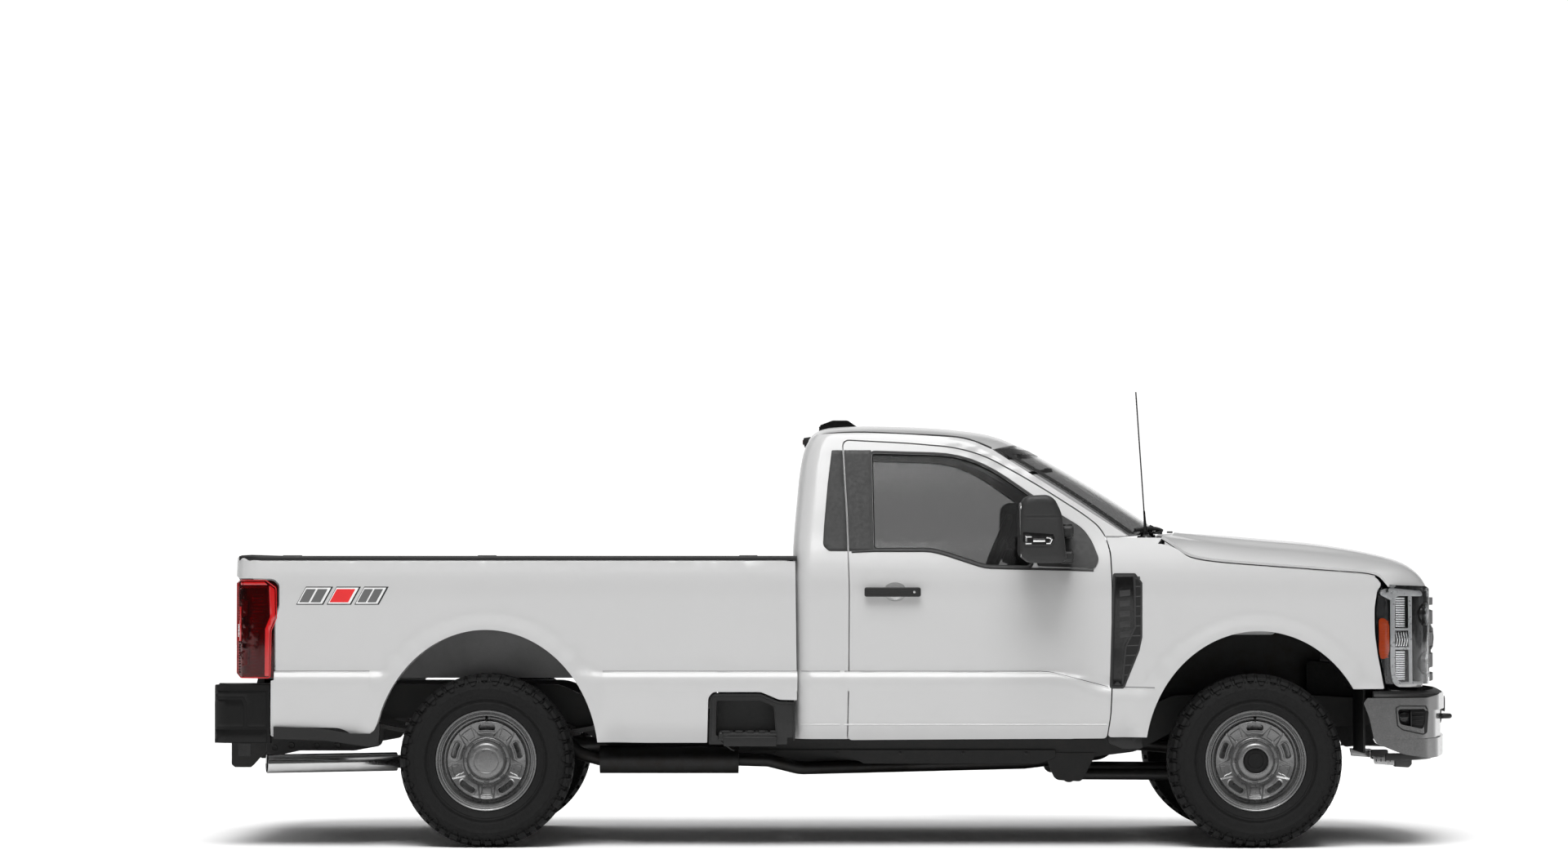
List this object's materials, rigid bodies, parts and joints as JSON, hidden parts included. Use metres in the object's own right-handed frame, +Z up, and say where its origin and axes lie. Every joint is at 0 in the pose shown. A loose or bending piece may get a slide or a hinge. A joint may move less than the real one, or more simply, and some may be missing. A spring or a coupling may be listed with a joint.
{
  "type": "single-cab long-bed four-wheel-drive pickup truck",
  "caption": "Heavy-duty single-cab pickup with a long open load bed, opening doors, hood and tailgate, steering front wheels and a stepped rear bumper.",
  "frame": {"origin": "on the ground below the middle of the overall box", "axes": "+X forward, +Y to the vehicle's left, +Z up"},
  "size_m": [5.882, 2.676, 2.1352],
  "materials": {
    "body_paint": "gloss white paint",
    "bed_lining": "white paint, ribbed floor",
    "black_trim": "grained black",
    "mirror_black": "grained black",
    "bumper_black": "satin black",
    "bright_bumper": "satin silver",
    "grille_grey": "dark grey, moulded",
    "glass": "tinted",
    "lamp": "clear lens over reflectors",
    "tail_red": "red lens",
    "tyre": "matt",
    "wheel_steel": "silver-grey paint",
    "chassis_black": "satin black",
    "chassis_steel": "dark bare steel",
    "cast": "rough",
    "exhaust_steel": "dull steel",
    "radiator": "dark finned",
    "interior": "dark grey grained",
    "floor_mat": "ribbed mat",
    "seat_cloth": "grey cloth"
  },
  "bodies": {
    "chassis": {"antenna": "black_trim", "bed_floor": "bed_lining", "bed_side_left": "body_paint", "bed_side_right": "body_paint", "bench_seat": "seat_cloth", "cab_back": "body_paint", "cab_floor": "floor_mat", "cab_glass": "glass", "cab_side_left": "body_paint", "cab_side_right": "body_paint", "cowl": "black_trim", "cross_members": "chassis_black", "dashboard": "interior", "driveshafts": "chassis_steel", "engine": "cast", "exhaust": "exhaust_steel", "fender_left": "body_paint", "fender_right": "body_paint", "frame_rails": "chassis_black", "front_axle": "chassis_black", "front_bumper": "bright_bumper", "fuel_tank": "black_trim", "gearbox": "cast", "grille": "grille_grey", "headlamps": "lamp", "hitch_receiver": "chassis_black", "radiator": "radiator", "radius_arms": "chassis_black", "rear_axle": "chassis_black", "rear_bumper": "bumper_black", "roof": "body_paint", "shocks": "chassis_steel", "side_steps": "black_trim", "springs": "chassis_steel", "taillamps": "tail_red", "wheel_liners": "black_trim"},
    "hood": {"hood": "body_paint"},
    "tailgate": {"tailgate": "body_paint"},
    "door_left": {"door_left": "body_paint", "door_glass_left": "glass", "mirror_left": "mirror_black"},
    "door_right": {"door_right": "body_paint", "door_glass_right": "glass", "mirror_right": "mirror_black"},
    "knuckle_left": {"knuckle_left": "cast"},
    "knuckle_right": {"knuckle_right": "cast"},
    "tie_rod": {"tie_rod": "chassis_black"},
    "steering_wheel": {"steering_wheel": "interior"},
    "wheel_front_left": {"tyre_front_left": "tyre", "rim_front_left": "wheel_steel"},
    "wheel_front_right": {"tyre_front_right": "tyre", "rim_front_right": "wheel_steel"},
    "wheel_rear_left": {"tyre_rear_left": "tyre", "rim_rear_left": "wheel_steel"},
    "wheel_rear_right": {"tyre_rear_right": "tyre", "rim_rear_right": "wheel_steel"}
  },
  "joints": [
    {"name": "steer_left", "type": "hinge", "parent": "chassis", "child": "knuckle_left", "pos_m": [1.951, 0.715, 0.406], "axis": [0, 0, 1], "range_deg": [-32, 32]},
    {"name": "steer_right", "type": "hinge", "parent": "chassis", "child": "knuckle_right", "pos_m": [1.951, -0.715, 0.406], "axis": [0, 0, 1], "range_deg": [-32, 32]},
    {"name": "tie_rod_pivot", "type": "hinge", "parent": "knuckle_left", "child": "tie_rod", "pos_m": [2.161, 0.715, 0.33], "axis": [0, 0, 1], "range_deg": [-32, 32]},
    {"name": "steering_wheel_turn", "type": "hinge", "parent": "chassis", "child": "steering_wheel", "pos_m": [0.79, 0.42, 1.392], "axis": [-0.9272, 0, 0.3746], "range_deg": [-480, 480]},
    {"name": "wheel_front_left_spin", "type": "hinge", "parent": "knuckle_left", "child": "wheel_front_left", "pos_m": [1.951, 0.8675, 0.406], "axis": [0, 1, 0], "continuous": true},
    {"name": "wheel_front_right_spin", "type": "hinge", "parent": "knuckle_right", "child": "wheel_front_right", "pos_m": [1.951, -0.8675, 0.406], "axis": [0, 1, 0], "continuous": true},
    {"name": "wheel_rear_left_spin", "type": "hinge", "parent": "chassis", "child": "wheel_rear_left", "pos_m": [-1.646, 0.8535, 0.406], "axis": [0, 1, 0], "continuous": true},
    {"name": "wheel_rear_right_spin", "type": "hinge", "parent": "chassis", "child": "wheel_rear_right", "pos_m": [-1.646, -0.8535, 0.406], "axis": [0, 1, 0], "continuous": true},
    {"name": "door_left_hinge", "type": "hinge", "parent": "chassis", "child": "door_left", "pos_m": [1.247, 1.004, 0.9], "axis": [0, 0, -1], "range_deg": [0, 65]},
    {"name": "door_right_hinge", "type": "hinge", "parent": "chassis", "child": "door_right", "pos_m": [1.247, -1.004, 0.9], "axis": [0, 0, 1], "range_deg": [0, 65]},
    {"name": "hood_hinge", "type": "hinge", "parent": "chassis", "child": "hood", "pos_m": [1.497, 0, 1.462], "axis": [0, -1, 0], "range_deg": [0, 45]},
    {"name": "tailgate_hinge", "type": "hinge", "parent": "chassis", "child": "tailgate", "pos_m": [-2.79, 0, 0.812], "axis": [0, -1, 0], "range_deg": [0, 90]}
  ],
  "couplings": [
    {"joint": "steer_right", "follows": "steer_left", "ratio": 1},
    {"joint": "tie_rod_pivot", "follows": "steer_left", "ratio": -1},
    {"joint": "steering_wheel_turn", "follows": "steer_left", "ratio": 15}
  ]
}
